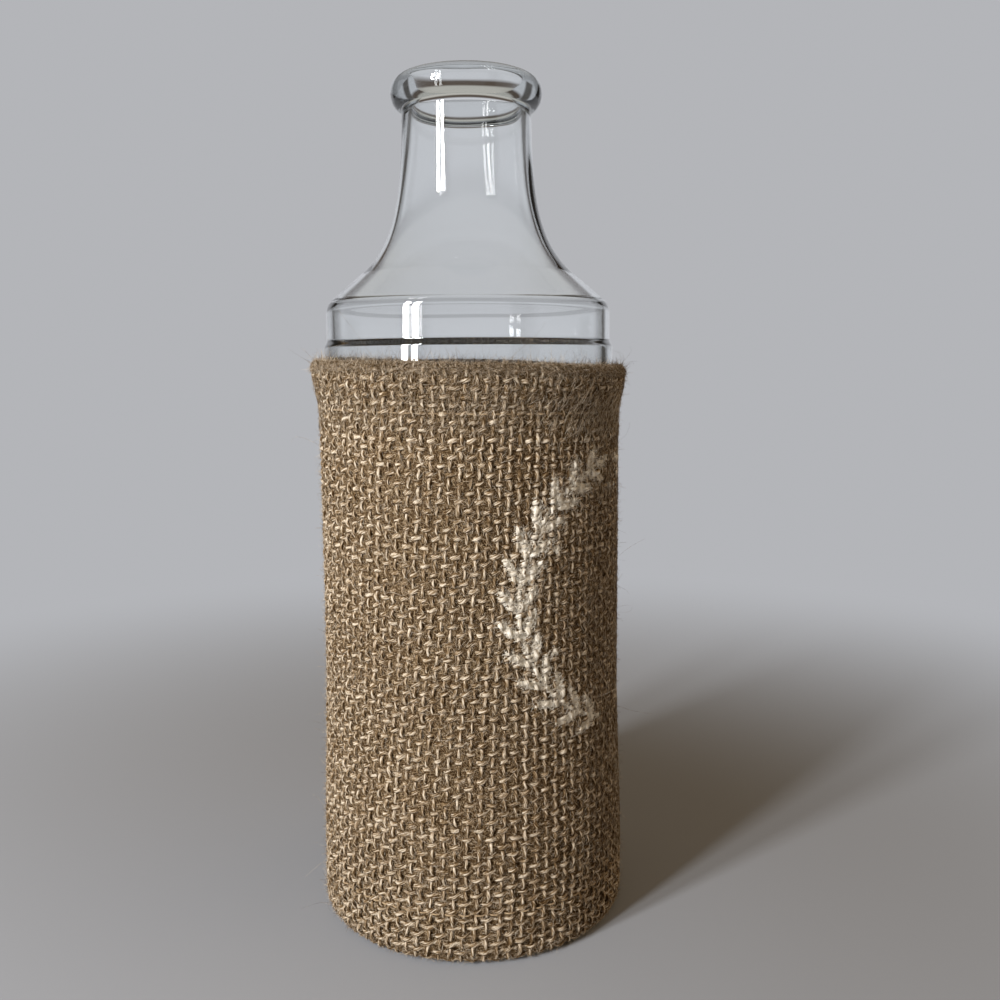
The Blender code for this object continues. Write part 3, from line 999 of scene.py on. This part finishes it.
# Fibres that lie flat over the weave. ends are distances up the section, heights are off the cloth's
# middle, turn is the direction that most lie in, from straight along the strip, part is the share of
# the strip that has them, softness is how far they thin out past it, and tone is how pale they are.
Crossing = namedtuple(
    "Crossing", "label seed count ends heights length turn spread radius part softness tone",
    defaults=((0.0, 1.0), 0.0, 0.0))
crossing_kinds = (
    Crossing("fill_fibres", 19, count=30000, ends=(foot_fold + 1.9 * mm, top_fold - 1.9 * mm),
             heights=(0.15 * mm, 0.60 * mm), length=1.8 * mm, turn=0.0, spread=math.pi / 2,
             radius=0.052 * mm),
    Crossing("brushed_fibres", 23, count=4500, ends=(top_fold - 16 * mm, top_fold - 2 * mm),
             heights=(0.70 * mm, 1.15 * mm), length=2.6 * mm, turn=math.radians(118), spread=0.5,
             radius=0.034 * mm),
    Crossing("swept_fibres", 27, count=420, ends=(top_fold - 16 * mm, top_fold - 7 * mm),
             heights=(0.90 * mm, 1.40 * mm), length=4.0 * mm, turn=math.radians(124), spread=0.25,
             radius=0.040 * mm, part=(0.43, 0.54), softness=4.0 * mm, tone=2.0),
    Crossing("streak_fibres", 28, count=10000, ends=(foot_fold + 14 * mm, top_fold - 16 * mm),
             heights=(0.55 * mm, 1.10 * mm), length=2.4 * mm, turn=math.radians(96), spread=0.45,
             radius=0.034 * mm, part=(0.35, 0.51), softness=4.0 * mm),
    Crossing("rim_wrap_fibres", 26, count=7000, ends=(top_fold - 1.9 * mm, top_fold + 1.0 * mm),
             heights=(1.0 * mm, 1.7 * mm), length=1.9 * mm, turn=math.radians(15), spread=0.7,
             radius=0.030 * mm),
)

# Short fibres that stand off the cloth between two distances up its section
Standing = namedtuple("Standing", "label seed count ends length")
standing_kinds = (
    Standing("standing_fibres", 21, 62000, (foot_fold, top_fold), 0.80 * mm),
    Standing("rim_fibres", 24, 14000, (top_fold - 2.6 * mm, top_fold + 1.6 * mm), 0.95 * mm),
    Standing("foot_fibres", 25, 7000, (foot_fold - 1.6 * mm, foot_fold + 2.6 * mm), 0.70 * mm),
)


def make_crossing(kind):
    """One kind of fibres that lie flat over the weave from yarn to yarn, in pieces."""
    chance = np.random.default_rng(kind.seed)
    column = (kind.count, 1)
    across = chance.uniform(kind.part[0] * strip_length, kind.part[1] * strip_length, column)
    up = chance.uniform(*kind.ends, column)
    across = across + chance.normal(0, 1, column) * kind.softness
    up = up + chance.normal(0, 1, column) * kind.softness / 2
    share = np.linspace(-0.5, 0.5, 3)[None, :]
    lengths = (kind.length, crossing_length_spread, kind.length / 2, kind.length * 2)
    length = random_lengths(chance, kind.count, *lengths)
    turns = kind.turn + chance.uniform(-kind.spread, kind.spread, column)
    turns = turns + chance.normal(0, crossing_curl, column) * share
    across = across + np.cos(turns) * share * length[:, None]
    up = up + np.sin(turns) * share * length[:, None]
    out = chance.uniform(*kind.heights, column) + chance.normal(0, crossing_rise, column) * share
    paths, _ = cloth_place(across, up, out)
    return hair_pieces(kind.label, paths, chance, kind.radius, (0.6, 1.3), kind.tone, 1.8)


def hair_feet(across, up, out):
    """Points of the cloth, with the outward direction and the level one along the cloth at each."""
    base, outward = (values[:, 0] for values in cloth_place(across, up, out))
    level = unit(np.stack([base[:, 1], -base[:, 0], np.zeros(len(base))], axis=-1))
    return base, outward, level


def make_standing(kind):
    """One kind of short fibres that stand off the cloth, in pieces."""
    chance = np.random.default_rng(kind.seed)
    column = (kind.count, 1)
    across = chance.uniform(0.0, strip_length, column)
    up = chance.uniform(*kind.ends, column)
    base, out, level = hair_feet(across, up, chance.uniform(*fuzz_foot, column) * cloth_outside)
    direction = level * chance.normal(0, fuzz_spread, column)
    direction = direction + np.cross(out, level) * chance.normal(0, fuzz_spread, column)
    direction = unit(direction + out * chance.uniform(*fuzz_rise, column))
    lengths = (kind.length, 0.45, kind.length / 2.5, kind.length * 3.5)
    paths = curled_paths(chance, base, direction, out, fuzz_curl, lengths)
    return hair_pieces(kind.label, paths, chance, fuzz_radius, (0.7, 1.3), 0.8, 1.2)


def make_strays():
    """The few long curly hairs that stand well clear of the cloth, many of them at the top fold."""
    chance = np.random.default_rng(22)
    count = stray_count + rim_stray_count
    column = (count, 1)
    at_rim = (np.arange(count) < rim_stray_count)[:, None]
    across = chance.uniform(0.0, strip_length, column)
    rim_up = chance.uniform(top_fold - rim_stray_reach[0], top_fold + rim_stray_reach[1], column)
    up = np.where(at_rim, rim_up, chance.uniform(foot_fold, top_fold, column))
    base, out, level = hair_feet(across, up, np.full(column, cloth_outside * stray_foot))
    upright = np.array([0.0, 0.0, 1.0]) * np.where(at_rim, rim_stray_upright, stray_upright)
    direction = unit(out * stray_rise + level * chance.normal(0, stray_spread, column) + upright)
    paths = curled_paths(chance, base, direction, out, stray_curl, stray_lengths)
    return hair_pieces("stray_fibres", paths, chance, stray_radius, (0.7, 1.2), 0.2, 1.0)


def make_loose_fibres(surfaces):
    """All the loose fibres of the burlap."""
    pieces = make_laid(surfaces)
    for kind in crossing_kinds:
        pieces += make_crossing(kind)
    for kind in standing_kinds:
        pieces += make_standing(kind)
    return pieces + make_strays()


# Sewing


def stitched(name, node, across, up):
    """A sewing thread that lies on the cloth for each stitch and dips through it at each hole."""
    distance = np.concatenate([[0.0], np.cumsum(np.hypot(np.diff(across), np.diff(up)))])
    stitches = max(1, round(distance[-1] / stitch_length))
    place = np.linspace(0.0, distance[-1], stitches * stitch_rings + 1)
    lift = np.abs(np.sin(math.pi * (place / distance[-1] * stitches))) ** stitch_flatness
    out = cloth_outside * (stitch_rise * lift - stitch_sink)
    centres, outward = cloth_place(np.interp(place, distance, across), np.interp(place, distance, up), out)
    centres = centres[None]
    _, aside, outward = tube_directions(centres, outward[None])
    turns = 2 * math.pi * np.arange(thread_sides) / thread_sides
    spin = turns + (place / thread_ply_length)[None, :, None] * 2 * math.pi
    size = thread_radius * (1 - thread_ply_share + thread_ply_share * np.abs(np.cos(spin)))[..., None]
    spokes = np.cos(turns)[:, None] * aside[:, :, None] + np.sin(turns)[:, None] * outward[:, :, None]
    strand = yarn_strand((place / mm)[None, :, None], spin, thread_radius)
    points = centres[:, :, None] + spokes * size
    return tube_piece(name, points, strand, np.full(spin.shape, thread_tone), "jute_thread", node)


def make_sewing():
    """Both hem lines and the line up the lap."""
    hem = np.linspace(hem_line_start, full_turn + hem_line_overlap, 400)
    seam = panel_distance(np.linspace(sleeve_low.z + seam_end_drop, sleeve_high.z - seam_end_drop, 60))
    top = np.full_like(hem, panel_distance(sleeve_high.z - hem_stitch_drop))
    foot = np.full_like(hem, panel_distance(sleeve_low.z + hem_stitch_drop))
    return [
        stitched("top_hem_stitches", "top_hem_thread", hem, top),
        stitched("foot_hem_stitches", "bottom_hem_thread", hem, foot),
        stitched("seam_stitches", "back_seam_thread", np.full_like(seam, seam_stitch_inset), seam),
    ]


# Wreath: its white film and fibres

Faces = namedtuple("Faces", "points outward strand quads places raggedness")


def yarn_patch(yarns, reach):
    """One family's yarns round the wreath, cut finely.

    Returns points, outward directions, fibre places, quads, and how ragged the film is on each quad.
    """
    every = np.arange(yarns.count)
    along = yarns.places(every, 400)
    middles, _ = yarns.centres(every, along)
    outer = np.linalg.norm(middles[..., :2], axis=-1) > panel_radius - film_depth
    near = (np.linalg.norm(flat_places(middles), axis=-1) < reach) & outer
    which = np.flatnonzero(near.any(axis=1))
    low, high = along[0, np.flatnonzero(near.any(axis=0))[[0, -1]]]
    rings = int((high - low) * film_rings_per_crossing) + 1
    along = np.broadcast_to(np.linspace(low, high, rings), (len(which), rings))
    points, spokes, _, strand, _ = yarns.rings(which, along, 2)
    quads = tube_polygons(*points.shape[:3])[0]
    return points.reshape(-1, 3), spokes.reshape(-1, 3), strand.reshape(-1, 3), quads, np.ones(len(quads))


def finer_grid(grid):
    """A grid of points with each cell cut into smaller ones."""
    for axis in (0, 1):
        count = grid.shape[axis]
        wanted = np.linspace(0, count - 1, (count - 1) * film_cuts + 1)
        low = np.minimum(wanted.astype(int), count - 2)
        share = (wanted - low).reshape((-1, 1, 1) if axis == 0 else (1, -1, 1))
        grid = np.take(grid, low, axis) * (1 - share) + np.take(grid, low + 1, axis) * share
    return grid


def mat_patch(reach):
    """The matted layer round the wreath, cut finely, with the same values as a yarn patch."""
    grids = mat_grid()
    middle = grids[0].shape[0] // 2 - int(lap_width / 2 / mat_step)
    half = int(reach / mat_step)
    low = panel_distance(wreath_height - reach)
    rows = slice(*np.searchsorted(grids[2][0, :, 1] * mm, [low, low + 2 * reach]))
    parts = [finer_grid(grid[middle - half:middle + half, rows]) for grid in grids]
    quads = grid_polygons(*parts[0].shape[:2])
    return *(part.reshape(-1, 3) for part in parts), quads, np.full(len(quads), mat_raggedness)


def film_faces(families):
    """The faces round the wreath that face out, joined."""
    reach = wreath_radius + leaf_length
    patches = [yarn_patch(yarns, reach) for yarns in families] + [mat_patch(reach)]
    starts = np.cumsum([0] + [len(patch[0]) for patch in patches])
    quads = np.concatenate([patch[3] + start for patch, start in zip(patches, starts)])
    points, outward, strand, _, raggedness = (np.concatenate(part) for part in zip(*patches))
    middles = points[quads].mean(axis=1)
    keep = facing(middles, unit(outward[quads].mean(axis=1))) > least_film_facing
    return Faces(points, outward, strand, quads[keep], flat_places(middles[keep]), raggedness[keep])


def film_piece(label, faces, depth, seed):
    """The white film over the faces that lie inside a shape, by their depth in it."""
    ragged = waves(faces.places[:, 0], faces.places[:, 1], seed, ragged_waves) * faces.raggedness
    used, index = np.unique(faces.quads[depth + ragged > 0], return_inverse=True)
    film = faces.points[used] + faces.outward[used] * film_thickness * film_sink_share
    piece = fibre_mesh(f"white_{label}", film, [index.reshape(-1, 4)], faces.strand[used],
                       np.zeros(len(used)), looks["white_film"])
    shell = piece.modifiers.new("Thickness", "SOLIDIFY")
    shell.thickness = film_thickness
    shell.offset = 1.0
    return on_sleeve(piece, f"wreath_{label}")


def white_feet(chance):
    """Where the white fibres of both halves start on the flat, and which way they lie."""
    leaves, start, end = sprig_leaves()
    feet = []
    for foot, direction in leaves:
        along = chance.uniform(0.0, white_leaf_share, white_per_leaf)
        half = leaf_half_width(along)
        aside = chance.uniform(-1, 1, white_per_leaf) * half
        normal = sideways(direction)
        fan = normal * (chance.normal(0, white_fan, white_per_leaf) + aside / half * white_spread)[:, None]
        base = foot + direction * along[:, None] * leaf_length + normal * aside[:, None]
        feet.append((base, unit(direction + fan)))
    outward, onward = turned(chance.uniform(start, end, white_per_stem))
    base = outward * (wreath_radius + chance.normal(0, stem_width / 3, white_per_stem))[:, None]
    feet.append((base, unit(onward + outward * chance.normal(0, white_fan, (white_per_stem, 1)))))
    for i in range(dots_each_side):
        base = dot_middle(i) + chance.normal(0, dot_radius / 3, (white_per_dot, 2))
        feet.append((base, unit(chance.normal(size=(white_per_dot, 2)))))
    right = [np.concatenate(part) for part in zip(*feet)]
    return [np.concatenate([part, part * mirror]) for part in right]


def white_fibres():
    """The white fibres of both sprigs and the dots, along each leaf and a little off its line."""
    chance = np.random.default_rng(51)
    base, way = white_feet(chance)
    count = len(base)
    column = (count, 1)
    share = np.linspace(0.0, 1.0, 5)[None, :]
    length = random_lengths(chance, count, white_length, 0.35, white_length / 2, white_length * 2)[:, None]
    turn = chance.normal(0, 0.8, column) * share
    across = way[:, :1] * np.cos(turn) - way[:, 1:] * np.sin(turn)
    up = way[:, :1] * np.sin(turn) + way[:, 1:] * np.cos(turn)
    across = base[:, :1] + across * length * share
    up = panel_distance(base[:, 1:] + up * length * share + wreath_height)
    lift = chance.uniform(0.25, 1.0, column) * cloth_outside
    lift = lift + np.sin(share * 5 + chance.uniform(0, 6, column)) * white_ripple
    paths, _ = cloth_place(math.pi * panel_radius - across, up, lift)
    radii = white_radius * chance.uniform(0.6, 1.3, count)
    return hair_piece("white_fibres", paths, radii, chance.normal(0.3, 1.0, count), chance, "white_film")


def make_wreath(families):
    """Both sprigs, the loose dots, and the white fibres that stand on them."""
    faces = film_faces(families)
    pieces = []
    for side, label in ((-1, "left"), (1, "right")):
        places = faces.places * np.array([side, 1.0])
        pieces.append(film_piece(f"{label}_sprig", faces, in_sprig(places), 31 + side))
        for i in range(dots_each_side):
            pieces.append(film_piece(f"{label}_dot_{i + 1}", faces, in_dot(places, i), 41 + i))
    return pieces + [white_fibres()]


# Stage


def make_floor():
    """A wide round floor just under the bottle's foot."""
    turns = np.linspace(0, 2 * math.pi, floor_sides, endpoint=False)
    points = np.stack([floor_radius * np.cos(turns), floor_radius * np.sin(turns),
                       np.full(floor_sides, -floor_gap)], axis=-1)
    add_mesh("floor", points, [np.arange(floor_sides)[None]], floor_material(), smooth=False)


def make_world():
    """Pale all round, lighting the object less than it shows, and more from the right.

    The glass sees four darker stretches as well, like dark screens beside the pale backdrop, and a
    dark rail under the ceiling. They draw its edges.
    """
    world = bpy.data.worlds.new("surroundings")
    bpy.context.scene.world = world
    world.use_nodes = True
    tree = world.node_tree
    place = add_node(tree, "TexCoord").outputs["Generated"]
    height = add_node(tree, "SeparateXYZ", {0: place}).outputs["Z"]

    def towards(azimuth):
        inputs = {0: place, 1: (math.cos(azimuth), math.sin(azimuth), 0.0)}
        return add_node(tree, "VectorMath", inputs, operation="DOT_PRODUCT").outputs["Value"]

    path = add_node(tree, "LightPath").outputs
    in_glass = maths(tree, "MAXIMUM", path["Is Transmission Ray"], path["Is Glossy Ray"])
    beside = maths(tree, "ABSOLUTE", towards(camera_azimuth + math.pi / 2))
    screens = ramp(tree, beside, screen_stops)
    rail = ramp(tree, height, rail_stops)
    overhead = ramp(tree, height, overhead_stops)
    seen = blended(tree, in_glass, backdrop_colour, blended(tree, overhead, screens, rail))
    looked_at = maths(tree, "MAXIMUM", in_glass, path["Is Camera Ray"])
    ambient = ramp(tree, towards(camera_azimuth + side_light_turn), ambient_stops)
    feed(tree, tree.nodes["Background"], {"Color": blended(tree, looked_at, ambient, seen)})


def make_window():
    """Soft light from a tall window of two panes, on the camera's left."""
    azimuth = camera_azimuth + window_turn
    away = Vector((math.sin(azimuth), -math.cos(azimuth), 0.0)) * math.cos(window_rise)
    away.z = math.sin(window_rise)
    middle = Vector((0.0, 0.0, bottle_height / 2)) + away * window_distance
    turn = (-away).to_track_quat("-Z", "Y")
    for side in (-1, 1):
        light = bpy.data.lights.new(f"window_{side}", "AREA")
        light.shape = "RECTANGLE"
        light.size, light.size_y = window_width, window_height
        light.energy = window_power
        light.color = window_colour
        pane = bpy.data.objects.new(f"window_{side}", light)
        pane.rotation_mode = "QUATERNION"
        pane.rotation_quaternion = turn
        pane.visible_camera = False
        pane.location = middle + turn @ Vector((side * (window_width + window_gap) / 2, 0.0, 0.0))
        bpy.context.scene.collection.objects.link(pane)


def make_camera():
    """The photograph's camera, a little above the top of the sleeve and close to the vase."""
    data = bpy.data.cameras.new("camera")
    data.lens = camera_lens
    data.clip_start = nearest_seen
    camera = bpy.data.objects.new("camera", data)
    turn = Matrix.Rotation(camera_azimuth - camera_yaw, 4, "Z")
    tilt = Matrix.Rotation(math.pi / 2 - camera_pitch, 4, "X")
    roll = Matrix.Rotation(-camera_roll, 4, "Z")
    place = Vector((math.sin(camera_azimuth), -math.cos(camera_azimuth), 0.0)) * camera_distance
    place.z = camera_height
    camera.matrix_world = Matrix.Translation(place) @ turn @ tilt @ roll
    bpy.context.scene.collection.objects.link(camera)
    bpy.context.scene.camera = camera


def main():
    """Builds everything."""
    bpy.context.scene.view_settings.view_transform = "Standard"
    make_camera()
    make_world()
    make_window()
    make_floor()
    make_bottle()

    warps, wefts = Yarns(warp_form, 1), Yarns(weft_form, 2)
    warp_pieces, warp_surfaces = weave(warps, "warp_yarns")
    weft_pieces, weft_surfaces = weave(wefts, "weft_yarns")
    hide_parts("burlap_sleeve")
    mat = make_mat()
    fibres = make_loose_fibres(warp_surfaces + weft_surfaces)
    sewing = make_sewing()
    wreath = make_wreath((warps, wefts))


main()
